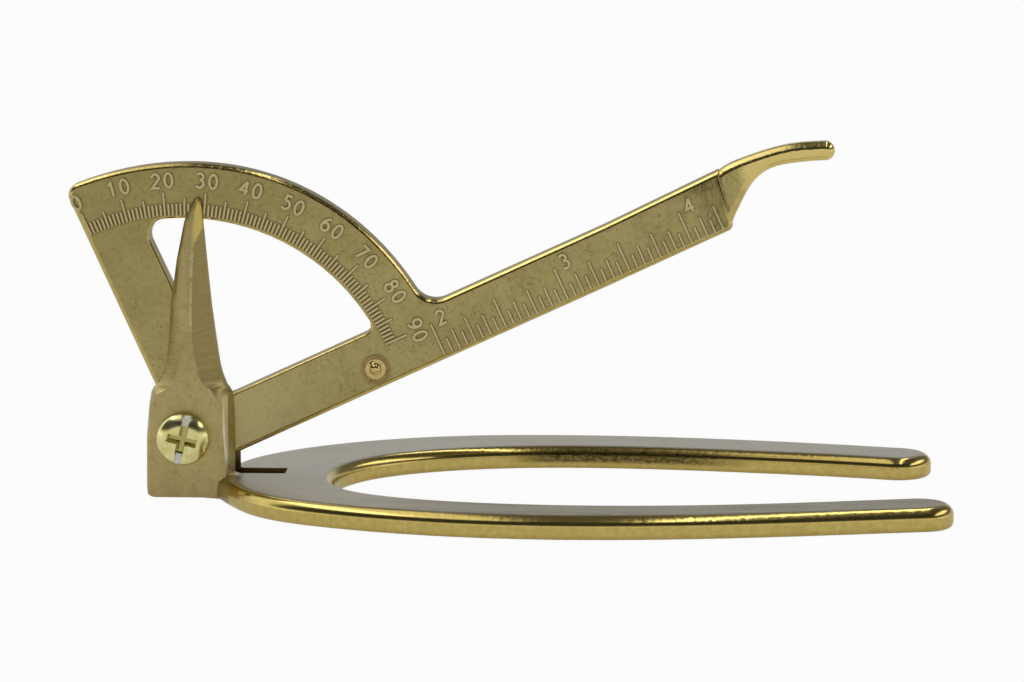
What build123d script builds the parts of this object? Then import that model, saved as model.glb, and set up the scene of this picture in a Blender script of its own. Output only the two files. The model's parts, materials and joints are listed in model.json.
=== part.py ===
"""Hoof measure: a cast brass fork with a clevis and pointer, and a hinged arm with a protractor and a rule.

The frame has +Z up and +X along the fork towards the prong tips. The origin is on the flat underside,
straight below the pivot. The arm swings in the plane Y = 0, and the reader stands on the -Y side.
"""

import os
from math import cos, radians, sin, sqrt, tan

from build123d import *

INCH = 25.4

# Fork plate, the horseshoe that lies on the sole of the hoof, hand finished and not quite even
plate_thickness = 4.4
near_heel = (5.5, -5.0)
near_side = [(8.5, -12.2), (15.3, -23.3), (29.2, -32.2), (48.0, -38.2), (68.0, -40.6), (113.0, -35.9)]
near_tip_centre = (136.6, -24.8)
near_tip_radius = 5.9
near_toe_in = 13.0
far_heel = (7.0, 5.0)
far_side = [(8.6, 10.9), (15.4, 21.2), (32.5, 33.9), (49.9, 39.9), (69.0, 41.7), (113.0, 36.8)]
far_tip_centre = (135.2, 24.3)
far_tip_radius = 6.9
far_toe_in = 16.0
opening_far = [(112.7, 22.5), (72.0, 27.0), (48.5, 22.6), (34.7, 13.6)]
opening_bend = (28.2, -2.0)
opening_near = [(31.3, -14.9), (42.9, -23.0), (59.4, -27.1), (80.0, -28.2), (102.7, -26.0)]
plate_top_edge_radius = 2.1
plate_bottom_edge_radius = 1.2

# Clevis at the heel of the fork
pivot_height = 11.8
clevis_left = -7.5
clevis_right = 9.2
rear_cheek_right = 9.7
cheek_thickness = 4.2
cheek_draft = 8.0
cheek_edge_radius = 0.45
clevis_corner_radius = 2.1
heel_rise = 0.45
heel_rise_end = 3.5
slot_floor = 3.4
slot_end_x = 18.6
slot_corner_radius = 0.8
foot_radius = 1.6
foot_inset = 1.1
foot_half_width = 5.5
relief_end = 0.02

# Front cheek and the pointer that grows out of it, by height. The back, the sides and the front are how far
# those faces stand in front of the middle of the slot, and the rest are places along the fork. Each bevel
# has a place and how far it stands in front.
clevis_stations = [
    # height, back, side, front, left, left bevel, flat from, flat to, right bevel, right
    (0.0, 2.65, 3.0, 6.85, -7.5, (-6.9, 6.45), -6.5, 7.9, (8.05, 6.45), 9.2),
    (5.0, 2.65, 3.0, 6.85, -7.5, (-6.9, 6.45), -6.5, 7.9, (8.1, 6.45), 9.2),
    (11.5, 2.65, 3.0, 6.85, -7.4, (-6.8, 6.45), -6.4, 7.5, (7.85, 6.4), 9.2),
    (15.0, 2.65, 3.0, 6.85, -7.1, (-6.5, 6.4), -6.1, 7.15, (7.75, 6.3), 9.1),
    (18.0, 2.65, 3.0, 6.85, -6.8, (-6.2, 6.35), -5.85, 6.8, (7.6, 6.2), 9.05),
    (20.0, 2.65, 3.1, 6.85, -6.4, (-5.6, 6.3), -4.8, 6.5, (7.5, 6.1), 8.9),
    (20.9, 2.65, 3.3, 6.85, -5.95, (-4.7, 5.8), -3.3, 5.6, (7.4, 5.8), 8.4),
    (21.4, 2.65, 3.5, 6.85, -5.3, (-3.9, 5.2), -2.5, 4.5, (7.3, 5.3), 8.0),
    (22.2, 2.65, 3.6, 6.85, -4.6, (-3.2, 4.8), -1.75, 3.5, (7.2, 4.75), 7.65),
    (23.5, 2.65, 3.7, 6.85, -3.85, (-2.6, 4.9), -1.4, 2.95, (6.95, 4.45), 7.15),
    (25.2, 2.65, 3.7, 6.85, -3.5, (-1.9, 5.5), -0.9, 2.6, (6.5, 4.3), 6.7),
    (28.2, 2.65, 3.7, 6.85, -3.1, (-1.6, 5.6), 0.0, 2.0, (6.05, 4.3), 6.25),
    (31.5, 2.65, 3.7, 6.85, -2.8, (-1.5, 5.4), 1.4, 1.7, (5.65, 4.3), 5.8),
    (37.0, 3.1, 3.7, 6.33, -2.45, (-1.3, 5.2), 1.4, 1.7, (5.0, 4.3), 5.15),
    (45.0, 3.1, 3.7, 5.6, -1.3, (-0.6, 4.75), 1.6, 1.9, (4.25, 4.2), 4.4),
    (52.4, 3.1, 3.6, 4.9, 0.2, (0.7, 4.2), 2.0, 2.25, (3.6, 4.0), 3.73),
    (54.6, 3.1, 3.55, 4.7, 1.2, (1.4, 4.05), 2.15, 2.4, (3.45, 3.9), 3.55),
    (56.2, 3.1, 3.5, 4.4, 1.95, (2.05, 3.85), 2.35, 2.7, (3.15, 3.8), 3.25),
    (56.6, 3.1, 3.4, 4.1, 2.3, (2.4, 3.7), 2.5, 2.7, (2.85, 3.65), 2.95),
]

# Arm casting: quadrant, rule and finger tail
arm_thickness = 5.0
side_clearance = 0.15
rest_angle = 24.8
window_radius = 40.9
rim_width = 10.5
hub_radius = 7.25
rule_top = 3.33
rule_top_rise_from = 88.0
rule_bottom_rise_from = 83.0
rule_end_top = (111.6, 3.96)
rule_end_bottom = (109.8, -7.05)
rim_hand_finish = [(75, -0.3), (60, -0.12), (45, 0.1), (30, 0.08), (15, -0.02)]
spoke_outer = 1.45
spoke_lean = 0.5
spoke_inner = 9.53
window_floor = 3.3
window_corner_radius = 1.8
window_top_corner_radius = 3.1
rim_corner_radius = 2.2
inside_corner_radius = 4.5
hub_corner_radius = 4.0
arm_face_edge_radius = 0.95
arm_edge_radius = 0.7
window_edge_radius = 0.5
tail_thickness = 4.6
tail_upper = [(112.0, 3.98), (118.3, 4.05), (123.9, 3.33)]
tail_under = [(124.2, -0.4), (120.9, 0.25), (117.0, -0.5), (113.3, -3.0)]
tail_root_inset = 0.2
rule_end_corner_radius = 1.3
tail_tip_centre = (131.07, -0.92)
tail_tip_radius = 1.8
tail_tip_fall = 23.0
tail_edge_radius = 1.6
tail_overlap = 4.0

# Raised marks on the arm
mark_height = 0.25
mark_width = 0.36
mark_root = 0.45
scale_margin = 0.6
degree_mark = 2.2
five_degree_mark = 3.3
ten_degree_mark = 4.4
numeral_gap = 0.65
numeral_height = 3.1
numeral_pitch = 2.45
numeral_stroke = 0.5
rule_mark_foot = -6.4
rule_first_inch = 2
rule_end_margin = 1.2
inch_mark = 6.4
half_inch_mark = 5.9
quarter_inch_mark = 4.9
eighth_inch_mark = 4.0
sixteenth_inch_mark = 2.8
rule_numeral_shift = 2.3
rule_numeral_above = 0.4

# Pivot screw, its nut and its spring washer
screw_radius = 2.45
screw_clearance = 0.05
thread_fit = 0.02
screw_length = 20.0
screw_end_chamfer = 0.5
head_radius = 5.0
head_height = 3.2
head_side_height = 1.0
head_crown_radius = 4.1
head_crown_height = 2.5
driver_slot_width = 1.2
driver_slot_depth = 1.2
driver_slot_turn = 13.0
cross_arm_length = 5.6
cross_arm_width = 1.5
cross_depth = 2.2
cross_taper = 8.0
nut_across_flats = 8.0
nut_thickness = 4.0
nut_chamfer = 0.4
washer_inner_radius = 2.6
washer_outer_radius = 4.4
washer_thickness = 1.2
washer_split = 0.8
washer_split_slant = 25.0

# Stop pin staked into the arm
pin_along = 37.8
pin_above = -3.5
pin_radius = 1.0
pin_fit = 0.02
pin_collar_radius = 1.9
pin_collar_height = 0.3
pin_dome_radius = 1.15
pin_dome_height = 1.3
pin_dome_edge_radius = 0.9

# Sizes that follow from the ones above
arm_half = arm_thickness / 2
gap_half = arm_half + side_clearance
cheek_face = gap_half + cheek_thickness
rule_last_sixteenth = int((rule_end_bottom[0] - rule_end_margin) * 16 / INCH)
bore_radius = screw_radius + screw_clearance
rim_radius = window_radius + rim_width
scale_inner_radius = window_radius + scale_margin
numeral_radius = scale_inner_radius + ten_degree_mark + numeral_gap + numeral_height / 2
clevis_centre_x = (clevis_left + clevis_right) / 2
lug_radius = (clevis_right - clevis_left) / 2

# Planes that face the reader, and one that faces away
rear_inner = Plane(origin=(0, gap_half, 0), x_dir=(-1, 0, 0), z_dir=(0, 1, 0))
middle = Plane(origin=(0, 0, pivot_height), x_dir=(1, 0, 0), z_dir=(0, -1, 0))
rest_direction = (cos(radians(rest_angle)), 0, sin(radians(rest_angle)))
arm_plane = Plane(origin=(0, 0, pivot_height), x_dir=rest_direction, z_dir=(0, -1, 0))
arm_face = arm_plane.offset(arm_half)

os.makedirs("parts", exist_ok=True)


def save(builder, name):
    """Labels a finished piece and writes it to its own file."""
    builder.part.label = name
    export_step(builder.part, f"parts/{name}.step")


# Base fork: the plate first


def prong_tip(centre, radius, toe_in, side):
    """Gives a prong's direction, and where its round end leaves the outer side, ends, and meets the opening."""
    turn = radians(toe_in)
    along = Vector(cos(turn), -side * sin(turn))
    across = Vector(sin(turn), side * cos(turn))
    centre = Vector(centre)
    return along, centre + across * radius, centre + along * radius, centre - across * radius


near_along, near_outer, near_end, near_inner = prong_tip(near_tip_centre, near_tip_radius, near_toe_in, -1)
far_along, far_outer, far_end, far_inner = prong_tip(far_tip_centre, far_tip_radius, far_toe_in, 1)

with BuildPart() as fork_plate:
    with BuildSketch():
        with BuildLine():
            Spline(near_heel, *near_side, near_outer)
            ThreePointArc(near_outer, near_end, near_inner)
            Spline(
                near_inner,
                *reversed(opening_near),
                opening_bend,
                *reversed(opening_far),
                far_inner,
                tangents=[near_along * -1, far_along],
            )
            ThreePointArc(far_inner, far_end, far_outer)
            Spline(far_outer, *reversed(far_side), far_heel)
            Line(far_heel, near_heel)
        make_face()
    extrude(amount=plate_thickness)
    rims = fork_plate.edges().filter_by(lambda edge: edge.center().X > clevis_right)
    fillet(rims.group_by(Axis.Z)[-1], plate_top_edge_radius)
    rims = fork_plate.edges().filter_by(lambda edge: edge.center().X > clevis_right)
    fillet(rims.group_by(Axis.Z)[0], plate_bottom_edge_radius)


def clevis_section(height, back, side, front, left, left_bevel, flat_from, flat_to, right_bevel, right):
    """Draws one level section of the front cheek or the pointer."""
    with BuildSketch(Plane.XY.offset(height)) as section:
        with BuildLine():
            Polyline(
                (left, -back),
                (right, -back),
                (right, -side),
                (right_bevel[0], -right_bevel[1]),
                (flat_to, -front),
                (flat_from, -front),
                (left_bevel[0], -left_bevel[1]),
                (left, -side),
                close=True,
            )
        make_face()
    return section.sketch.face()


# The relief under the clevis, a wedge that runs out towards the plate
with BuildPart() as heel_relief:
    for place, rise in ((clevis_left - 1, heel_rise), (heel_rise_end, heel_rise), (clevis_right, relief_end)):
        with BuildSketch(Plane.YZ.offset(place)):
            with BuildLine():
                Polyline((-gap_half, 0), (-cheek_face, rise), (-cheek_face, -1), (-gap_half, -1), close=True)
            make_face()
    loft(ruled=True)

# Front cheek and pointer in one
with BuildPart() as front_cheek:
    loft(sections=[clevis_section(*station) for station in clevis_stations], ruled=True)
    add(heel_relief.part, mode=Mode.SUBTRACT)

# Rear cheek with a round top
with BuildPart() as rear_cheek:
    with BuildSketch(rear_inner):
        with BuildLine():
            right_foot = (-rear_cheek_right, 0)
            left_foot = (-clevis_left, 0)
            right_side = (-rear_cheek_right, pivot_height)
            left_side = (-clevis_left, pivot_height)
            Polyline(right_side, right_foot, left_foot, left_side)
            ThreePointArc(left_side, (-clevis_centre_x, pivot_height + lug_radius), right_side)
        make_face()
    extrude(amount=cheek_thickness, taper=cheek_draft)
    fillet(rear_cheek.faces().sort_by(Axis.Y)[-1].edges(), cheek_edge_radius)

# The casting: plate, cheeks with the pointer, and the web, less the slot, a rounded heel corner and the bore
with BuildPart() as base_fork:
    add(fork_plate.part)
    add(front_cheek.part)
    add(rear_cheek.part)
    with BuildSketch(Plane.XY):
        with Locations((clevis_centre_x, 0)):
            Rectangle(clevis_right - clevis_left, 2 * gap_half)
    extrude(amount=slot_floor)
    with BuildSketch(Plane.XZ):
        with BuildLine():
            foot_end = (clevis_right + foot_radius, plate_thickness)
            foot_top = (clevis_right - foot_inset, plate_thickness + foot_radius)
            RadiusArc(foot_end, foot_top, foot_radius + foot_inset)
            Polyline(foot_top, (foot_top[0], slot_floor), (foot_end[0], slot_floor), foot_end)
        make_face()
    extrude(amount=foot_half_width, both=True)
    with BuildSketch(Plane.XY.offset(slot_floor)) as slot:
        with Locations(((clevis_left - 1 + slot_end_x) / 2, 0)):
            Rectangle(slot_end_x - clevis_left + 1, 2 * gap_half)
        fillet(slot.vertices().group_by(Axis.X)[-1], slot_corner_radius)
    extrude(amount=2 * pivot_height, mode=Mode.SUBTRACT)
    with BuildSketch(Plane.XZ.offset(gap_half)) as heel_corner:
        with Locations((clevis_left, 0)):
            Rectangle(2 * clevis_corner_radius, 2 * clevis_corner_radius)
        with Locations((clevis_left + clevis_corner_radius, clevis_corner_radius)):
            Circle(clevis_corner_radius, mode=Mode.SUBTRACT)
    corner = heel_corner.sketch
    extrude(corner, amount=-cheek_face - 2 * gap_half, mode=Mode.SUBTRACT)
    extrude(corner, amount=2 * cheek_thickness, dir=(0, -cheek_thickness, heel_rise), mode=Mode.SUBTRACT)
    with BuildSketch(middle.offset(-cheek_face - 1)):
        Circle(bore_radius)
    extrude(amount=2 * cheek_face + 2, mode=Mode.SUBTRACT)
save(base_fork, "base_fork")

# Protractor arm: quadrant, rule and hub in one thickness
spoke_top = sqrt(rim_radius**2 - spoke_outer**2)
spoke_run = spoke_top * tan(radians(spoke_lean))
spoke_foot = (-spoke_outer, sqrt(hub_radius**2 - spoke_outer**2))
rim_start = (-spoke_outer + spoke_run, spoke_top)
rim_finish = (sqrt(rim_radius**2 - rule_top**2), rule_top)
window_left = (spoke_inner, sqrt(window_radius**2 - spoke_inner**2))
window_middle = (window_radius * cos(radians(45)), window_radius * sin(radians(45)))
window_right = (sqrt(window_radius**2 - window_floor**2), window_floor)


def on_rim(angle, beyond):
    """Gives a point of the rim's hand-filed edge, some way beyond the true round."""
    radius = rim_radius + beyond
    return (radius * cos(radians(angle)), radius * sin(radians(angle)))


with BuildPart() as arm_body:
    with BuildSketch(arm_plane) as outline:
        with BuildLine():
            ThreePointArc((0, -hub_radius), (-hub_radius, 0), spoke_foot)
            Line(spoke_foot, rim_start)
            Spline(rim_start, *[on_rim(angle, beyond) for angle, beyond in rim_hand_finish], rim_finish)
            Polyline(
                rim_finish,
                (rule_top_rise_from, rule_top),
                rule_end_top,
                rule_end_bottom,
                (rule_bottom_rise_from, -hub_radius),
                (0, -hub_radius),
            )
        make_face()
        fillet(outline.vertices().sort_by_distance(rim_start)[0], rim_corner_radius)
        fillet(outline.vertices().sort_by_distance(rim_finish)[0], inside_corner_radius)
        fillet(outline.vertices().sort_by_distance(spoke_foot)[0], hub_corner_radius)
        fillet(outline.vertices().sort_by_distance(rule_end_bottom)[0], rule_end_corner_radius)
    extrude(amount=arm_half, both=True)
    fillet(arm_body.faces().sort_by(Axis.Y)[0].edges(), arm_face_edge_radius)
    fillet(arm_body.faces().sort_by(Axis.Y)[-1].edges(), arm_edge_radius)
    with BuildSketch(arm_plane) as window:
        with BuildLine():
            Line(window_left, (spoke_inner, window_floor))
            Line((spoke_inner, window_floor), window_right)
            ThreePointArc(window_right, window_middle, window_left)
        make_face()
        fillet(window.vertices().sort_by_distance(window_left)[0], window_top_corner_radius)
        fillet(window.vertices().sort_by_distance((spoke_inner, window_floor))[0], window_corner_radius)
        fillet(window.vertices().sort_by_distance(window_right)[0], window_corner_radius)
    extrude(amount=arm_half, both=True, mode=Mode.SUBTRACT)
    rims = arm_body.faces().sort_by(Axis.Y)[0].inner_wires()[0].edges()
    fillet(rims, window_edge_radius)
    rims = arm_body.faces().sort_by(Axis.Y)[-1].inner_wires()[0].edges()
    fillet(rims, window_edge_radius)

# Finger tail, a round-edged rod that runs on from the end of the rule
tail_tip = Vector(tail_tip_centre)
tail_fall = radians(tail_tip_fall)
tail_across = Vector(sin(tail_fall), cos(tail_fall))
tail_out = Vector(cos(tail_fall), -sin(tail_fall))
tip_top = tail_tip + tail_across * tail_tip_radius
tip_bottom = tail_tip - tail_across * tail_tip_radius
tail_start = rule_end_bottom[0] - tail_overlap
tail_root_top = (tail_start, rule_top - arm_edge_radius)
tail_root_bottom = rule_end_bottom[1] + arm_edge_radius

with BuildPart() as tail:
    with BuildSketch(arm_plane):
        with BuildLine():
            Spline(tail_root_top, *tail_upper, tip_top, tangents=[(1, 0), tail_out])
            ThreePointArc(tip_top, tail_tip + tail_out * tail_tip_radius, tip_bottom)
            root = (rule_end_bottom[0] - tail_root_inset, tail_root_bottom)
            Spline(tip_bottom, *tail_under, root, tangents=[tail_out * -1, (-1, -1.1)])
            Polyline(root, (tail_start, tail_root_bottom), tail_root_top)
        make_face()
    extrude(amount=tail_thickness / 2, both=True)
    fillet(tail.faces().sort_by(Axis.Y)[0].edges(), tail_edge_radius)
    fillet(tail.faces().sort_by(Axis.Y)[-1].edges(), tail_edge_radius)

# Digits in a box one unit high: rings by centre and radii, arcs by three points, and straight runs
digit_width = 0.6
digit_rings = {
    "0": [(0.3, 0.5, 0.27, 0.5)],
    "6": [(0.3, 0.29, 0.27, 0.29)],
    "8": [(0.3, 0.78, 0.21, 0.22), (0.3, 0.28, 0.27, 0.28)],
    "9": [(0.3, 0.71, 0.27, 0.29)],
}
digit_arcs = {
    "2": [[(0.05, 0.75), (0.36, 0.99), (0.48, 0.55)]],
    "3": [[(0.06, 0.87), (0.5, 0.82), (0.25, 0.56)], [(0.25, 0.56), (0.55, 0.2), (0.04, 0.13)]],
    "5": [[(0.1, 0.56), (0.57, 0.32), (0.04, 0.1)]],
    "6": [[(0.03, 0.29), (0.14, 0.72), (0.47, 0.98)]],
    "9": [[(0.57, 0.71), (0.46, 0.28), (0.13, 0.02)]],
}
digit_runs = {
    "1": [[(0.14, 0.8), (0.34, 1), (0.34, 0)]],
    "2": [[(0.48, 0.55), (0.03, 0), (0.57, 0)]],
    "4": [[(0.43, 0), (0.43, 1)], [(0.43, 1), (0.03, 0.3), (0.6, 0.3)]],
    "5": [[(0.52, 1), (0.13, 1), (0.1, 0.56)]],
    "7": [[(0.04, 1), (0.57, 1), (0.22, 0)]],
}
digit_size = numeral_height - numeral_stroke
half_stroke = numeral_stroke / 2


def on_digit(point):
    """Scales a point of the unit box and centres the box on the origin."""
    return ((point[0] - digit_width / 2) * digit_size, (point[1] - 0.5) * digit_size)


def digit_face(digit):
    """Draws one digit with its box centred on the origin."""
    with BuildSketch() as face:
        for x, y, half_across, half_up in digit_rings.get(digit, []):
            with Locations(on_digit((x, y))):
                Ellipse(half_across * digit_size + half_stroke, half_up * digit_size + half_stroke)
                Ellipse(
                    half_across * digit_size - half_stroke,
                    half_up * digit_size - half_stroke,
                    mode=Mode.SUBTRACT,
                )
        for points in digit_arcs.get(digit, []):
            with BuildLine() as stroke:
                ThreePointArc([on_digit(point) for point in points])
            trace(stroke.line, line_width=numeral_stroke)
        for points in digit_runs.get(digit, []):
            with BuildLine() as stroke:
                Polyline([on_digit(point) for point in points])
            trace(stroke.line, line_width=numeral_stroke)
    return face.sketch


digit_faces = {digit: digit_face(digit) for digit in "0123456789"}


def radial_spot(radius, angle):
    """Gives the place and turn of something that stands along a radius of the scale."""
    return Location((radius * cos(radians(angle)), radius * sin(radians(angle)), 0), (0, 0, angle - 90))


def rule_mark_length(sixteenth):
    """Gives the length of the rule's mark at a number of sixteenths of an inch."""
    for step, length in ((16, inch_mark), (8, half_inch_mark), (4, quarter_inch_mark), (2, eighth_inch_mark)):
        if sixteenth % step == 0:
            return length
    return sixteenth_inch_mark


# The arm casting with its raised marks, its pivot bore and the hole of the stop pin
with BuildPart() as protractor_arm:
    add(arm_body.part)
    add(tail.part)
    with BuildSketch(arm_face.offset(-mark_root)):
        for step, length in ((1, degree_mark), (5, five_degree_mark), (10, ten_degree_mark)):
            middle_radius = scale_inner_radius + length / 2
            spots = [radial_spot(middle_radius, 90 - degree) for degree in range(0, 91, step)]
            with Locations(spots):
                Rectangle(mark_width, length)
        for sixteenth in range(16 * rule_first_inch, rule_last_sixteenth + 1):
            length = rule_mark_length(sixteenth)
            with Locations((sixteenth * INCH / 16, rule_mark_foot + length / 2)):
                Rectangle(mark_width, length)
    extrude(amount=mark_root + mark_height)
    with BuildSketch(arm_face.offset(-mark_root)):
        for degree in range(0, 91, 10):
            spot = radial_spot(numeral_radius, 90 - degree)
            digits = str(degree)
            for place, digit in enumerate(digits):
                shift = numeral_pitch * (place - (len(digits) - 1) / 2)
                add(digit_faces[digit].moved(spot * Location((shift, 0, 0))))
        for inch in range(rule_first_inch, rule_last_sixteenth // 16 + 1):
            spot = Location((inch * INCH + rule_numeral_shift, rule_numeral_above, 0))
            add(digit_faces[str(inch)].moved(spot))
    extrude(amount=mark_root + mark_height)
    with BuildSketch(arm_plane.offset(-arm_thickness)):
        Circle(bore_radius)
        with Locations((pin_along, pin_above)):
            Circle(pin_radius + pin_fit)
    extrude(amount=2 * arm_thickness, mode=Mode.SUBTRACT)
save(protractor_arm, "protractor_arm")

# Stop pin: shank through the arm, collar and dome on the reader's side
with BuildPart() as stop_pin:
    with BuildSketch(arm_plane.offset(-arm_half)):
        with Locations((pin_along, pin_above)):
            Circle(pin_radius)
    extrude(amount=arm_thickness)
    with BuildSketch(arm_face):
        with Locations((pin_along, pin_above)):
            Circle(pin_collar_radius)
    extrude(amount=pin_collar_height)
    with BuildSketch(arm_face):
        with Locations((pin_along, pin_above)):
            Circle(pin_dome_radius)
    extrude(amount=pin_dome_height)
    fillet(stop_pin.faces().sort_by(Axis.Y)[0].edges(), pin_dome_edge_radius)
save(stop_pin, "stop_pin")

# Pivot screw: domed head with a slot and a cross, and a plain shank in place of its thread
pivot_axis = Axis((0, 0, pivot_height), (0, 1, 0))
profile_plane = Plane(origin=(0, 0, pivot_height), x_dir=(1, 0, 0), z_dir=(0, 0, -1))
head_top = cheek_face + head_height
screw_end = cheek_face - screw_length

with BuildPart() as pivot_screw:
    with BuildSketch(profile_plane):
        with BuildLine():
            Polyline(
                (0, head_top),
                (0, screw_end),
                (screw_radius - screw_end_chamfer, screw_end),
                (screw_radius, screw_end + screw_end_chamfer),
                (screw_radius, cheek_face),
                (head_radius, cheek_face),
                (head_radius, cheek_face + head_side_height),
            )
            Spline(
                (head_radius, cheek_face + head_side_height),
                (head_crown_radius, cheek_face + head_crown_height),
                (0, head_top),
                tangents=[(0, 1), (-1, 0)],
            )
        make_face()
    revolve(axis=pivot_axis)
    with BuildSketch(middle.offset(head_top - driver_slot_depth)):
        Rectangle(2 * head_radius + 1, driver_slot_width, rotation=90 - driver_slot_turn)
    extrude(amount=head_height, mode=Mode.SUBTRACT)
    with BuildSketch(middle.offset(head_top)):
        Rectangle(cross_arm_length, cross_arm_width, rotation=90 - driver_slot_turn)
        Rectangle(cross_arm_length, cross_arm_width, rotation=-driver_slot_turn)
    extrude(amount=-cross_depth, taper=cross_taper, mode=Mode.SUBTRACT)
save(pivot_screw, "pivot_screw")

# Split spring washer between the rear cheek and the nut
washer_plane = Plane(origin=(0, cheek_face, pivot_height), x_dir=(-1, 0, 0), z_dir=(0, 1, 0))
washer_middle_radius = (washer_inner_radius + washer_outer_radius) / 2

with BuildPart() as spring_washer:
    with BuildSketch(washer_plane):
        Circle(washer_outer_radius)
        Circle(washer_inner_radius, mode=Mode.SUBTRACT)
    extrude(amount=washer_thickness)
    split_centre = (0, cheek_face + washer_thickness / 2, pivot_height + washer_middle_radius)
    with Locations(Location(split_centre, (0, 0, washer_split_slant))):
        Box(washer_split, 4 * washer_thickness, washer_outer_radius, mode=Mode.SUBTRACT)
save(spring_washer, "spring_washer")

# Hexagon nut behind the washer
nut_plane = washer_plane.offset(washer_thickness)
nut_corner_radius = nut_across_flats / sqrt(3)

with BuildPart() as pivot_nut:
    with BuildSketch(nut_plane):
        Circle(nut_corner_radius)
    extrude(amount=nut_thickness)
    chamfer(pivot_nut.edges().filter_by(GeomType.CIRCLE), nut_chamfer)
    with BuildSketch(nut_plane):
        RegularPolygon(nut_across_flats / 2, 6, major_radius=False)
        Circle(screw_radius + thread_fit, mode=Mode.SUBTRACT)
    extrude(amount=nut_thickness, mode=Mode.INTERSECT)
save(pivot_nut, "pivot_nut")
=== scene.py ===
"""Hoof measure: the cast brass fork and its hinged arm, dressed and lit for a plain studio picture."""

import json
import math

import bmesh
import bpy
from mathutils import Euler, Matrix, Vector

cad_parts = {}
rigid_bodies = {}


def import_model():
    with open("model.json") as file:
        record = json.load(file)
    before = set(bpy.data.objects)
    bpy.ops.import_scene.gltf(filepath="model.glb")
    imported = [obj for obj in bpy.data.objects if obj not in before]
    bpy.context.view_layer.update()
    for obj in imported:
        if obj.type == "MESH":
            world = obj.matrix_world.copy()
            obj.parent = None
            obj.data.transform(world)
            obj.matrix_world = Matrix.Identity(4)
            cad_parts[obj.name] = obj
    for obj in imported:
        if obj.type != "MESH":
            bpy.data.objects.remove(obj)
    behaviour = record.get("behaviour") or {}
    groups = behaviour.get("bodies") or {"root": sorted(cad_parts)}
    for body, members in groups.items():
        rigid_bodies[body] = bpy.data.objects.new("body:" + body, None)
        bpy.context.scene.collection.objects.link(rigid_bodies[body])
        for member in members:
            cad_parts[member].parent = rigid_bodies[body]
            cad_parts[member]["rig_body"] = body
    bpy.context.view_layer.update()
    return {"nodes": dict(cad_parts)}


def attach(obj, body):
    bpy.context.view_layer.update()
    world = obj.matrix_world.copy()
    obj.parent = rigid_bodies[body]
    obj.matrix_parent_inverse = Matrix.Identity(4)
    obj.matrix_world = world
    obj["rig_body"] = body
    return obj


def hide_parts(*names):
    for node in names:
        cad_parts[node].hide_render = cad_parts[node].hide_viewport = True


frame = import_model()
MM = 0.001

# Sizes shared with the castings, in metres
PIVOT_HEIGHT = 11.8 * MM
REST_ANGLE = math.radians(24.8)
ARM_HALF = 2.5 * MM
GAP_HALF = 2.65 * MM
CHEEK_FACE = 6.85 * MM
PLATE_TOP = 4.4 * MM
PLATE_TOP_ROUND = 2.1 * MM
PLATE_BOTTOM_ROUND = 1.2 * MM
FORK_SLOT_END = 18.6 * MM
DRIVER_SLOT_FLOOR = 8.85 * MM

# The stop pin and the end of the rule, measured along the arm from the pivot and above its middle line
PIN_ALONG = 37.8 * MM
PIN_ABOVE = -3.5 * MM
RULE_END_LEAN = 0.172
CUTS_END = 110.8 * MM

# The pointer: its foot, and how far its front ridge and its tip lean
POINTER_FOOT = 21.0 * MM
RIDGE_FOOT = 31.5 * MM
RIDGE_LEAN = 0.0935
TIP_LEAN = 1.9

# The camera, fitted to the photograph, with its tilt counted up from straight down
PHOTO_WIDTH = 1024.0
FOCAL_PIXELS = 3701.04
SENSOR_WIDTH = 36.0
CAMERA_PLACE = Vector((0.0856, -0.6861, 0.1383))
CAMERA_TILT = math.radians(81.003)
CAMERA_ROLL = math.radians(-0.142)
CAMERA_PAN = math.radians(2.053)

# Colours of the cast skin
PALE_GRAIN = (0.6, 0.51, 0.24)
DULL_GRAIN = (0.3, 0.235, 0.08)
SPECK = (0.17, 0.125, 0.045)

# Colours of the arm
ARM_DARK = (0.42, 0.345, 0.125)
ARM_PALE = (0.51, 0.43, 0.165)
# Painted shade, darker higher up the arm
ARM_UPPER_SHADE = (0.34, 0.275, 0.085)
# Painted reflection, paler near the pivot
ARM_HUB_REFLECTION = (0.68, 0.59, 0.29)
ARM_EDGE_DARK = (0.55, 0.42, 0.135)
ARM_EDGE_PALE = (0.66, 0.52, 0.18)
ARM_SIDE = (0.27, 0.215, 0.07)
FILE_CUT = (0.13, 0.1, 0.035)
TAIL_POLISH = (0.95, 0.76, 0.27)
MARK_TOP = (0.74, 0.63, 0.34)
# Painted shade on the walls of the raised marks
MARK_WALL_SHADE = (0.07, 0.048, 0.018)
# Painted shade in the corners round the raised marks
MARK_CORNER_SHADE = (0.1, 0.072, 0.025)
PIN_TARNISH = (0.36, 0.2, 0.06)

# Colours of the fork
CHEEK_DARK = (0.46, 0.37, 0.145)
CHEEK_PALE = (0.54, 0.44, 0.185)
# Painted highlight on the cheek's right bevel
CHEEK_BEVEL_HIGHLIGHT = (0.97, 0.9, 0.66)
CHEEK_TARNISH = (0.3, 0.17, 0.08)
# Painted shade on the pointer's facets, by which way each faces
POINTER_RIGHT_SHADE = (0.37, 0.29, 0.115)
POINTER_LEFT_SHADE = (0.33, 0.26, 0.09)
POINTER_SHADE = (0.3, 0.23, 0.06)
POINTER_FILED = (0.6, 0.49, 0.22)
# Painted highlight on the pointer's right facet near its tip
POINTER_TIP_HIGHLIGHT = (0.75, 0.57, 0.16)
# Painted highlight along the pointer's ridge
POINTER_RIDGE_HIGHLIGHT = (0.84, 0.71, 0.4)
GROUND_DARK = (0.415, 0.375, 0.265)
GROUND_PALE = (0.61, 0.565, 0.44)
GROUND_PATCH = (0.3, 0.26, 0.17)
# Painted sheen on the ground top at the rear and the far side
GROUND_PAINTED_SHEEN = (0.92, 0.88, 0.78)
WALL_DARK = (0.58, 0.44, 0.125)
WALL_PALE = (0.67, 0.525, 0.17)
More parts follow.
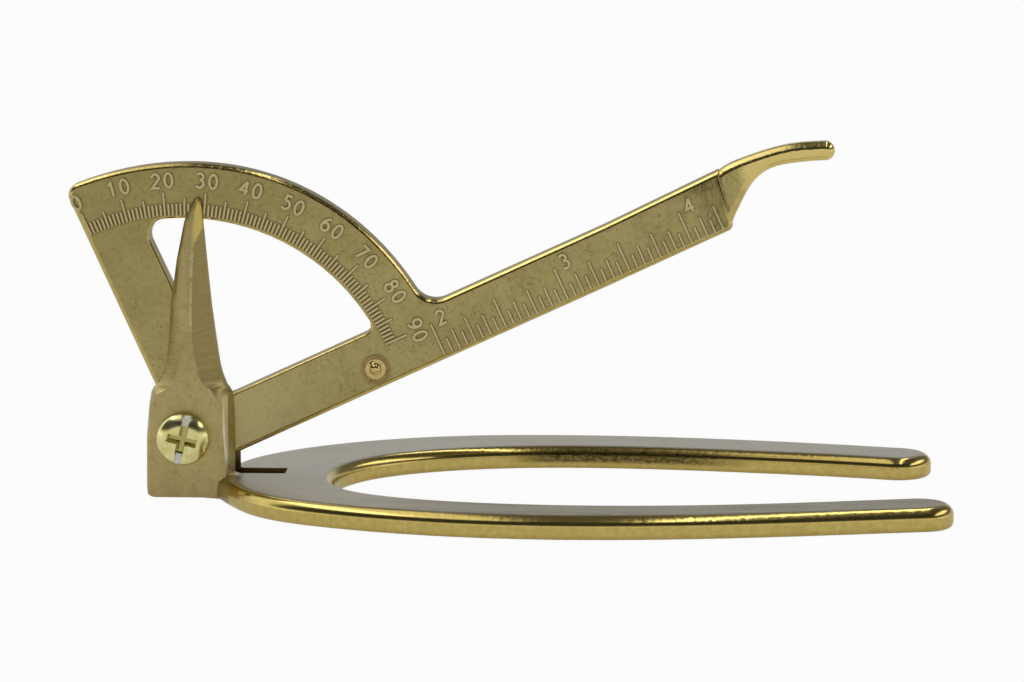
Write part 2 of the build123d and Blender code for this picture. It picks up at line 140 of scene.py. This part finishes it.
# Casting pits and a painted dark reflection inside the far prong
WALL_PITS_AND_DARK_REFLECTION = (0.09, 0.062, 0.02)
# Tarnish in the slot, and painted shade deep between the cheeks
SLOT_TARNISH_AND_SHADE = (0.11, 0.035, 0.013)

# Colours of the small pieces and of the studio
PIN_DARK = (0.6, 0.46, 0.17)
PIN_PALE = (0.74, 0.58, 0.25)
PLATING_DARK = (0.76, 0.69, 0.26)
PLATING_PALE = (0.9, 0.84, 0.42)
# Tarnish and painted shade in the cross of the screw
PLATING_TARNISH_AND_SHADE = (0.3, 0.24, 0.04)
BARE_STEEL = (0.86, 0.86, 0.8)
BARE_DOT = (0.12, 0.11, 0.08)
WHITE = (1.0, 1.0, 1.0, 1.0)
MATT_WHITE = (0.78, 0.78, 0.78, 1.0)

# Points of a mesh nearer to each other than this are one point
SAME_PLACE = 0.002 * MM

# A Mix node has five inputs between its factor and its two colours
MIX_GAP = (None,) * 5
MIX_COLOUR_OUTPUT = 2


# Shader helpers


class Shade:
    """A number that varies over a surface, with ordinary arithmetic."""

    def __init__(self, finish, socket):
        self.finish = finish
        self.socket = socket

    def math(self, operation, first, second=0.0):
        return self.finish.node("ShaderNodeMath", {"operation": operation}, first, second)

    def __add__(self, other):
        return self.math("ADD", self, other)

    def __radd__(self, other):
        return self.math("ADD", other, self)

    def __sub__(self, other):
        return self.math("SUBTRACT", self, other)

    def __rsub__(self, other):
        return self.math("SUBTRACT", other, self)

    def __mul__(self, other):
        return self.math("MULTIPLY", self, other)

    def __rmul__(self, other):
        return self.math("MULTIPLY", other, self)

    def __neg__(self):
        return self.math("MULTIPLY", self, -1.0)

    def __abs__(self):
        return self.math("ABSOLUTE", self)

    def least(self, other):
        return self.math("MINIMUM", self, other)

    def most(self, other):
        return self.math("MAXIMUM", self, other)

    def distance(self, other):
        """Gives how far a place is that lies this far one way and the other far across."""
        return self.math("SQRT", self * self + other * other)

    def rise(self, low, high):
        """Goes smoothly from 0 at low to 1 at high."""
        settings = {"interpolation_type": "SMOOTHSTEP"}
        names = {"From Min": low, "From Max": high}
        return self.finish.node("ShaderNodeMapRange", settings, self, **names)

    def fall(self, low, high):
        """Goes smoothly from 1 at low to 0 at high."""
        return 1.0 - self.rise(low, high)

    def band(self, start, full, fading, end):
        """Is 1 between full and fading, and goes smoothly to 0 at start and end."""
        return self.rise(start, full) * self.fall(fading, end)


class Finish:
    """The nodes of a material or of the world."""

    def __init__(self, owner):
        owner.use_nodes = True
        self.owner = owner
        self.tree = owner.node_tree
        self.tree.nodes.clear()

    def node(self, kind, settings=None, *values, output=0, **named):
        """Adds a node of this kind, with its settings and the values or links of its inputs."""
        node = self.tree.nodes.new(kind)
        for key, setting in (settings or {}).items():
            setattr(node, key, setting)
        inputs = list(zip(node.inputs, values))
        inputs += [(node.inputs[key], value) for key, value in named.items()]
        for socket, value in inputs:
            if isinstance(value, Shade):
                self.tree.links.new(value.socket, socket)
            elif value is not None:
                socket.default_value = value
        return Shade(self, node.outputs[output]) if node.outputs else None

    def place(self):
        """Gives the place on the piece in metres."""
        return self.node("ShaderNodeTexCoord", output="Object")

    def split(self, vector):
        """Gives the three parts of a vector."""
        node = self.node("ShaderNodeSeparateXYZ", None, vector).socket.node
        return [Shade(self, part) for part in node.outputs]

    def facing(self):
        """Gives the three parts of the direction that the surface faces."""
        return self.split(self.node("ShaderNodeTexCoord", output="Normal"))

    def openness(self, reach):
        """Gives 1 on open ground, and less in the corners within reach."""
        settings = {"samples": 8, "only_local": True}
        return self.node("ShaderNodeAmbientOcclusion", settings, output="AO", Distance=reach)

    def stretch(self, scale, turn=(0.0, 0.0, 0.0)):
        """Gives the place, turned and then stretched, for a pattern that runs one way."""
        turned = self.node("ShaderNodeMapping", {"vector_type": "POINT"}, self.place(), Rotation=turn)
        return self.node("ShaderNodeMapping", {"vector_type": "POINT"}, turned, Scale=scale)

    def noise(self, scale, detail=3.0, roughness=0.5, vector=None):
        """Gives a cloudy pattern between 0 and 1."""
        named = {"Vector": vector or self.place(), "Scale": scale, "Detail": detail, "Roughness": roughness}
        return self.node("ShaderNodeTexNoise", {"noise_dimensions": "3D"}, **named)

    def blend(self, share, first, second):
        """Mixes two colours, each a shade or a plain red, green and blue."""
        colours = [(*colour, 1.0) if isinstance(colour, tuple) else colour for colour in (first, second)]
        settings = {"data_type": "RGBA"}
        return self.node("ShaderNodeMix", settings, share, *MIX_GAP, *colours, output=MIX_COLOUR_OUTPUT)

    def bump(self, height, strength, distance):
        """Gives the direction of a surface with this relief on it."""
        return self.node("ShaderNodeBump", None, Strength=strength, Distance=distance, Height=height)

    def metal(self, colour, rough, normal):
        """Gives the finished material of a bare metal."""
        named = {"Base Color": colour, "Metallic": 1.0, "Roughness": rough, "Normal": normal}
        shader = self.node("ShaderNodeBsdfPrincipled", None, **named)
        self.node("ShaderNodeOutputMaterial", None, shader)
        return self.owner


# Finishes


def cast_skin(finish, dark, pale):
    """Gives the mottled colour of satin cast brass, and the patterns of its mottle and its dark specks."""
    clouds = finish.noise(140.0, 4.0, 0.6)
    mottle = finish.noise(800.0, 4.0, 0.65)
    speck = finish.noise(1900.0, 2.0, 0.5).rise(0.6, 0.7)
    skin = finish.blend(clouds.rise(0.3, 0.7), dark, pale)
    skin = finish.blend(mottle.rise(0.35, 0.7) * 0.55, skin, PALE_GRAIN)
    skin = finish.blend(mottle.fall(0.3, 0.45) * 0.35, skin, DULL_GRAIN)
    return finish.blend(speck * 0.4, skin, SPECK), mottle, speck


def file_cuts(finish, slant, above):
    """Gives the pattern of the file cuts, and where they lie at the end of the rule."""
    cuts = finish.noise(1.0, 3.0, 0.7, finish.stretch((4200.0, 600.0, 700.0)))
    end_cuts = slant.band(104.5 * MM, 108.0 * MM, CUTS_END, CUTS_END + 0.4 * MM)
    upper_cuts = slant.band(98.0 * MM, 108.0 * MM, CUTS_END, CUTS_END + 0.4 * MM)
    upper_cuts = upper_cuts * above.rise(0.5 * MM, 3.0 * MM)
    return cuts, (end_cuts * 0.6 + upper_cuts).least(1.0)


def arm_brass():
    """Sand-cast brass: satin faces, dull sides, a polished tail and bright tops on the raised marks, with
    painted shade high on the arm and round the marks, and a painted reflection near the pivot.
    """
    finish = Finish(bpy.data.materials.new("arm_brass"))
    depth = finish.facing()[1]
    x, y, z = finish.split(finish.place())
    proud = -y - ARM_HALF
    height = z - PIVOT_HEIGHT
    along = x * math.cos(REST_ANGLE) + height * math.sin(REST_ANGLE)
    above = height * math.cos(REST_ANGLE) - x * math.sin(REST_ANGLE)
    face = abs(depth).rise(0.98, 0.996)
    satin, mottle, speck = cast_skin(finish, ARM_DARK, ARM_PALE)
    # Painted shade: the arm darkens higher up
    satin = finish.blend(above.rise(8.0 * MM, 42.0 * MM) * 0.35, satin, ARM_UPPER_SHADE)
    # Painted reflection: paler near the pivot and low on the arm
    hub_reflection = along.fall(12.0 * MM, 32.0 * MM) * above.fall(3.0 * MM, 12.0 * MM)
    satin = finish.blend(hub_reflection * 0.4, satin, ARM_HUB_REFLECTION)

    # Rough file cuts before the end of the rule, and the polished tail after it
    slant = along - above * RULE_END_LEAN
    cuts, filed = file_cuts(finish, slant, above)
    filed = filed * face
    satin = finish.blend(filed * (0.3 + cuts.fall(0.42, 0.6) * 0.6), satin, FILE_CUT)
    polished = slant.rise(113.5 * MM, 116.5 * MM)

    # Tarnish round the stop pin, and painted shade in the corners round the marks
    from_pin = (along - PIN_ALONG).distance(above - PIN_ABOVE)
    halo = from_pin.fall(2.3 * MM, 3.4 * MM)
    satin = finish.blend(halo * (0.25 + mottle * 0.5), satin, PIN_TARNISH)
    # Painted shade where little light reaches, round the raised marks
    corners = finish.openness(0.9 * MM).fall(0.55, 0.95) * proud.rise(-0.3 * MM, -0.1 * MM)
    satin = finish.blend(corners * 0.8, satin, MARK_CORNER_SHADE)
    raised = proud.rise(0.12 * MM, 0.22 * MM)
    satin = finish.blend(raised * 0.6, satin, MARK_TOP)

    # Rounded edges, the tail, painted shade on the walls of the marks, and the sides of the arm
    edge = finish.blend(mottle.rise(0.3, 0.7), ARM_EDGE_DARK, ARM_EDGE_PALE)
    shiny = (1.0 - face).most(polished)
    colour = finish.blend(shiny, satin, edge)
    colour = finish.blend(polished * 0.6, colour, TAIL_POLISH)
    # Painted shade: dark walls on the raised marks
    mark_wall_shade = proud.band(0.0, 0.02 * MM, 0.14 * MM, 0.2 * MM) * (1.0 - face)
    colour = finish.blend(mark_wall_shade * 0.95, colour, MARK_WALL_SHADE)
    side = abs(depth).fall(0.05, 0.25) * (1.0 - polished)
    colour = finish.blend(side * 0.75, colour, ARM_SIDE)
    satin_rough = (1.0 - shiny) * (0.2 + mottle * 0.12)
    rough = 0.13 + mottle * 0.06 + satin_rough - raised * face * 0.12 + side * 0.22

    # Grain, file cuts and the staking dents round the pin
    grain = finish.noise(3600.0, 2.0, 0.6)
    punch = finish.node("ShaderNodeTexVoronoi", {"feature": "F1"}, Vector=finish.place(), Scale=1500.0)
    dents = from_pin.fall(2.4 * MM, 2.9 * MM) * face * punch.rise(0.1, 0.45)
    relief = grain * 0.35 + mottle * 0.8 - speck * 0.5 + cuts * filed * 2.2 + dents * 3.5
    return finish.metal(colour, rough, finish.bump(relief, 0.45, 0.06 * MM))


def ground_top(finish, x, y):
    """Gives the colour of the plate's ground faces with a painted sheen at the rear and the far side, and
    the streaks that run along the prongs.
    """
    streaks = finish.noise(1.0, 4.0, 0.7, finish.stretch((70.0, 3000.0, 300.0)))
    patches = finish.noise(1.0, 3.0, 0.6, finish.stretch((60.0, 260.0, 100.0)))
    ground = finish.blend(streaks.rise(0.32, 0.68), GROUND_DARK, GROUND_PALE)
    ground = finish.blend(patches.fall(0.35, 0.5) * 0.4, ground, GROUND_PATCH)
    # Painted sheen: the ground top paler at the rear and the far side
    bright = x.fall(30.0 * MM, 60.0 * MM).most(y.rise(5.0 * MM, 25.0 * MM))
    return finish.blend(bright * 0.45, ground, GROUND_PAINTED_SHEEN), streaks


def polished_walls(finish, mottle, depth, x, y, z):
    """Gives the colour of the plate's walls, with casting pits and a painted dark reflection inside the far
    prong, and the pits there.
    """
    gold = finish.blend(mottle.rise(0.3, 0.7), WALL_DARK, WALL_PALE)
    pits = finish.noise(1.0, 4.0, 0.75, finish.stretch((900.0, 900.0, 1600.0))).rise(0.45, 0.6)
    # Casting pits and a painted dark reflection of the near prong on the far prong's inner wall
    inner = depth.fall(-0.8, -0.3) * y.band(12.0 * MM, 18.0 * MM, 30.0 * MM, 32.0 * MM)
    inner = inner * z.band(0.8 * MM, 1.8 * MM, 3.6 * MM, 4.2 * MM)
    inner = inner * x.band(57.0 * MM, 68.0 * MM, 92.0 * MM, 112.0 * MM)
    return finish.blend(inner * (0.72 + pits * 0.25), gold, WALL_PITS_AND_DARK_REFLECTION), pits * inner


def filed_pointer(finish, skin, mottle, facet, across, front, x, z):
    """Gives the skin with painted shade on the pointer's facets, painted highlights on its ridge and near
    its tip, and the file marks across it.
    """
    file_marks = finish.noise(1.0, 3.0, 0.7, finish.stretch((260.0, 260.0, 5200.0), (0.0, 0.25, 0.0)))
    # Painted shade on the pointer's facets, by which way they face
    right_facet = facet * across.rise(0.15, 0.3)
    left_facet = facet * across.fall(-0.6, -0.45)
    skin = finish.blend(right_facet * 0.85, skin, POINTER_RIGHT_SHADE)
    skin = finish.blend(left_facet * 0.8, skin, POINTER_LEFT_SHADE)
    skin = finish.blend(facet * 0.15, skin, POINTER_SHADE)
    skin = finish.blend(facet * file_marks.rise(0.45, 0.65) * 0.3, skin, POINTER_FILED)
    # Painted highlight on the right facet near the tip
    tip_highlight = right_facet * (z - x * TIP_LEAN).rise(43.6 * MM, 44.8 * MM)
    skin = finish.blend(tip_highlight, skin, POINTER_TIP_HIGHLIGHT)
    # Painted highlight along the pointer's front ridge
    ridge_front = CHEEK_FACE - (z - RIDGE_FOOT) * RIDGE_LEAN
    ridge = front.rise(ridge_front - 0.06 * MM, ridge_front - 0.02 * MM)
    ridge = ridge * z.band(29.0 * MM, 33.0 * MM, 54.0 * MM, 56.0 * MM) * mottle.rise(0.38, 0.56)
    return finish.blend(ridge * 0.55, skin, POINTER_RIDGE_HIGHLIGHT), facet * file_marks


def fork_brass():
    """Cast brass with a ground grey top, polished walls, a satin clevis and a tarnished slot, with painted
    shade and highlights on the clevis and pointer, a painted sheen on the top and a painted dark reflection
    inside the far prong.
    """
    finish = Finish(bpy.data.materials.new("fork_brass"))
    across, depth, up = finish.facing()
    x, y, z = finish.split(finish.place())
    front = -y
    skin, mottle, _ = cast_skin(finish, CHEEK_DARK, CHEEK_PALE)
    plate = z.fall(PLATE_TOP + 0.1 * MM, PLATE_TOP + 0.4 * MM)
    tower = 1.0 - plate.least(x.rise(8.7 * MM, 9.4 * MM))
    flat = abs(up).rise(0.9, 0.995) * plate
    top = abs(up).rise(0.99, 0.999) * plate
    facet = tower * z.rise(POINTER_FOOT, POINTER_FOOT + 3.0 * MM)
    ground, streaks = ground_top(finish, x, y)
    gold, pits = polished_walls(finish, mottle, depth, x, y, z)
    skin, file_marks = filed_pointer(finish, skin, mottle, facet, across, front, x, z)

    # A painted highlight on the bevel at the right of the cheek, and dull tarnish low on the cheek
    bevel_highlight = tower * x.band(7.2 * MM, 7.6 * MM, 8.1 * MM, 8.3 * MM)
    bevel_highlight = bevel_highlight * front.fall(CHEEK_FACE - 0.07 * MM, CHEEK_FACE - 0.01 * MM)
    bevel_highlight = bevel_highlight * z.band(4.0 * MM, 9.0 * MM, 19.0 * MM, 20.8 * MM)
    skin = finish.blend(bevel_highlight * 0.9, skin, CHEEK_BEVEL_HIGHLIGHT)
    low = z.fall(2.0 * MM, 9.0 * MM)
    skin = finish.blend(low * mottle.rise(0.4, 0.6) * 0.35, skin, CHEEK_TARNISH)
    colour = finish.blend(tower, gold, skin)
    colour = finish.blend(flat * (1.0 - tower), colour, ground)

    # Tarnish on the floor of the slot, and painted shade deep between the cheeks
    slot = abs(y).fall(GAP_HALF - 0.02 * MM, GAP_HALF + 0.12 * MM)
    slot = slot * x.fall(FORK_SLOT_END - 0.1 * MM, FORK_SLOT_END + 0.15 * MM)
    floor = z.fall(PLATE_TOP - 0.1 * MM, PLATE_TOP + 0.02 * MM)
    shade_between_cheeks = x.rise(6.0 * MM, 8.5 * MM) * z.fall(5.0 * MM, 7.5 * MM)
    slot_tarnish_and_shade = slot * floor.most(shade_between_cheeks)
    colour = finish.blend(slot_tarnish_and_shade * (0.62 + mottle * 0.3), colour, SLOT_TARNISH_AND_SHADE)
    rough = 0.16 + flat * (0.16 + streaks * 0.12) + tower * (0.16 + mottle * 0.18) + slot_tarnish_and_shade * 0.3
    grain = finish.noise(3600.0, 2.0, 0.6)
    relief = (mottle * 0.8 + grain * 0.3) * tower + streaks * top * 0.9 + file_marks * 1.2 - pits * 0.8
    return finish.metal(colour, rough, finish.bump(relief, 0.4, 0.05 * MM))


def pin_brass():
    """Bright turned brass, lightly mottled."""
    finish = Finish(bpy.data.materials.new("pin_brass"))
    mottle = finish.noise(1500.0, 3.0, 0.6)
    colour = finish.blend(mottle.rise(0.35, 0.7), PIN_DARK, PIN_PALE)
    return finish.metal(colour, 0.12 + mottle * 0.12, finish.bump(mottle, 0.35, 0.04 * MM))


def plated_steel():
    """Steel with a pale yellow plating, bare on the floor of the driver slot, with tarnish and painted shade
    in its cross.
    """
    finish = Finish(bpy.data.materials.new("plated_steel"))
    depth = finish.facing()[1]
    x, y, z = finish.split(finish.place())
    front = -y
    above_floor = front - DRIVER_SLOT_FLOOR
    clouds = finish.noise(420.0, 4.0, 0.6)
    colour = finish.blend(clouds.rise(0.35, 0.65), PLATING_DARK, PLATING_PALE)
    dots = finish.noise(3000.0, 1.0, 0.5).rise(0.68, 0.74)
    bare = finish.blend(dots, BARE_STEEL, BARE_DOT)
    slot_floor = above_floor.band(-0.1 * MM, -0.03 * MM, 0.03 * MM, 0.1 * MM) * (-depth).rise(0.995, 0.9995)
    colour = finish.blend(slot_floor, colour, bare)
    from_axis = x.distance(z - PIVOT_HEIGHT)
    # Tarnish and painted shade deep in the cross recess
    recess = front.rise(CHEEK_FACE, CHEEK_FACE + 0.2 * MM) * above_floor.fall(-0.1 * MM, -0.02 * MM)
    recess = recess * from_axis.fall(3.2 * MM, 3.6 * MM)
    colour = finish.blend(recess * (0.35 + clouds * 0.5), colour, PLATING_TARNISH_AND_SHADE)
    rough = 0.14 + clouds * 0.1 + slot_floor * 0.35
    grain = finish.noise(4200.0, 2.0, 0.6)
    return finish.metal(colour, rough, finish.bump(grain, 0.2, 0.03 * MM))


FINISHES = {
    "arm_brass": arm_brass(),
    "fork_brass": fork_brass(),
    "pin_brass": pin_brass(),
    "plated_steel": plated_steel(),
}


# Pieces


def join_triangles(mesh, flatness):
    """Merges the loose triangles of a CAD mesh, and joins those that lie flat within this many degrees."""
    shape = bmesh.new()
    shape.from_mesh(mesh)
    bmesh.ops.remove_doubles(shape, verts=shape.verts, dist=SAME_PLACE)
    bmesh.ops.dissolve_degenerate(shape, edges=shape.edges, dist=SAME_PLACE)
    bmesh.ops.recalc_face_normals(shape, faces=shape.faces)
    bmesh.ops.dissolve_limit(shape, angle_limit=math.radians(flatness), verts=shape.verts, edges=shape.edges)
    shape.to_mesh(mesh)
    shape.free()


def smooth_copy(node, name, finish, angle=28.0, flatness=0.2, bevel=0.0):
    """Copies a CAD piece, softens its sharp edges and evens its shading between them."""
    source = frame["nodes"][node]
    mesh = source.data.copy()
    mesh.name = name
    join_triangles(mesh, flatness)
    mesh.materials.clear()
    mesh.materials.append(FINISHES[finish])
    mesh.shade_smooth()
    mesh.set_sharp_from_angle(angle=math.radians(angle))
    piece = bpy.data.objects.new(name, mesh)
    bpy.context.scene.collection.objects.link(piece)
    if bevel:
        rounding = piece.modifiers.new("soft_edges", "BEVEL")
        rounding.limit_method = "ANGLE"
        rounding.angle_limit = math.radians(50.0)
        rounding.width = bevel
        rounding.segments = 2
    shading = piece.modifiers.new("even_shading", "WEIGHTED_NORMAL")
    shading.mode = "FACE_AREA"
    shading.weight = 100
    shading.keep_sharp = True
    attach(piece, source["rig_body"])
    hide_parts(node)
    return piece


def even_the_rounding(fork):
    """Shades the rounded edges of the fork's plate by their true round, whatever the facets under them."""
    plate_start = 12.0 * MM
    mesh = fork.data
    shaded = fork.evaluated_get(bpy.context.evaluated_depsgraph_get())
    normals = [corner.vector.copy() for corner in shaded.to_mesh().corner_normals]
    for face in mesh.polygons:
        level_face = abs(face.normal.z) > 0.9999
        slot_wall = abs(face.center.y) < GAP_HALF + 0.1 * MM and face.center.x < FORK_SLOT_END + 0.2 * MM
        if level_face or slot_wall:
            continue
        for loop, vertex in zip(face.loop_indices, face.vertices):
            place = mesh.vertices[vertex].co
            if place.x < plate_start or place.z > PLATE_TOP + 0.01 * MM:
                continue
            over = (place.z - PLATE_TOP + PLATE_TOP_ROUND) / PLATE_TOP_ROUND
            under = (PLATE_BOTTOM_ROUND - place.z) / PLATE_BOTTOM_ROUND
            rise = min(max(over, 0.0), 1.0) - min(max(under, 0.0), 1.0)
            level = Vector((normals[loop].x, normals[loop].y, 0.0)).normalized()
            normals[loop] = level * math.sqrt(1.0 - rise * rise) + Vector((0.0, 0.0, rise))
    shaded.to_mesh_clear()
    fork.modifiers.clear()
    mesh.normals_split_custom_set(normals)


even_the_rounding(smooth_copy("base_fork", "fork_casting", "fork_brass", angle=14.0, flatness=0.02))
smooth_copy("protractor_arm", "arm_casting", "arm_brass", bevel=0.11 * MM)
smooth_copy("stop_pin", "stop_pin_dome", "pin_brass")
smooth_copy("pivot_screw", "screw_with_slot", "plated_steel")
smooth_copy("spring_washer", "split_washer", "plated_steel")
smooth_copy("pivot_nut", "hexagon_nut", "plated_steel")


# Camera, floor and light


def place_camera():
    """Stands the camera where the photograph was taken from."""
    camera_data = bpy.data.cameras.new("camera")
    camera_data.sensor_width = SENSOR_WIDTH
    camera_data.lens = FOCAL_PIXELS / PHOTO_WIDTH * SENSOR_WIDTH
    camera_data.clip_start = 0.01
    camera_data.clip_end = 50.0
    camera = bpy.data.objects.new("camera", camera_data)
    bpy.context.scene.collection.objects.link(camera)
    turn = Euler((CAMERA_TILT, CAMERA_ROLL, CAMERA_PAN))
    camera.matrix_world = Matrix.LocRotScale(CAMERA_PLACE, turn, None)
    bpy.context.scene.camera = camera


def make_floor():
    """Lays a white floor that keeps a faint shadow."""
    shape = bmesh.new()
    bmesh.ops.create_grid(shape, x_segments=1, y_segments=1, size=12.0)
    mesh = bpy.data.meshes.new("floor")
    shape.to_mesh(mesh)
    shape.free()
    floor = bpy.data.objects.new("floor", mesh)
    floor.location.z = -0.02 * MM
    bpy.context.scene.collection.objects.link(floor)
    finish = Finish(bpy.data.materials.new("white_floor"))
    matt = finish.node("ShaderNodeBsdfDiffuse", None, Color=MATT_WHITE)
    glow = finish.node("ShaderNodeEmission", None, Color=WHITE, Strength=1.0)
    seen = finish.node("ShaderNodeLightPath", output="Is Camera Ray")
    mirrored = finish.node("ShaderNodeLightPath", output="Is Glossy Ray")
    mixed = finish.node("ShaderNodeMixShader", None, seen * 0.95 + mirrored * 0.35, matt, glow)
    finish.node("ShaderNodeOutputMaterial", None, mixed)
    mesh.materials.append(finish.owner)


def light_world():
    """Hangs two soft boxes overhead and a lamp at the right, in a dark room with a low pale wall."""
    world = bpy.data.worlds.new("studio")
    bpy.context.scene.world = world
    finish = Finish(world)
    x, y, z = finish.split(finish.node("ShaderNodeTexCoord", output="Generated"))
    front = (-y).rise(-0.1, 0.25)
    sides = abs(y + 0.1).fall(0.2, 0.6)
    wall = 0.62 + 0.2 * front + 0.35 * sides
    forward = front.most(x.rise(0.2, 0.5))
    low = z.fall(0.1, 0.28) * forward + z.fall(0.25, 0.45) * (1.0 - forward)
    behind = 0.16 + 0.85 * x.fall(-0.35, -0.2)
    lamp = x.rise(0.64, 0.72) * z.band(0.42, 0.52, 0.66, 0.76)
    room = front * 0.04 + (1.0 - front) * behind + lamp * 1.8
    right_box = x.band(0.15, 0.19, 0.21, 0.25)
    left_box = x.band(-0.7, -0.58, -0.2, -0.1) * (1.0 + 1.6 * x.fall(-0.45, -0.38))
    overhead = 0.08 + 4.2 * right_box + left_box
    high = z.rise(0.7, 0.82)
    level = low * wall + high * overhead + (1.0 - low - high) * room
    dome = finish.node("ShaderNodeBackground", None, WHITE, level)
    white = finish.node("ShaderNodeBackground", None, WHITE, 1.0)
    seen = finish.node("ShaderNodeLightPath", output="Is Camera Ray")
    mixed = finish.node("ShaderNodeMixShader", None, seen, dome, white)
    finish.node("ShaderNodeOutputWorld", None, mixed)


place_camera()
make_floor()
light_world()
bpy.context.scene.view_settings.view_transform = "Standard"
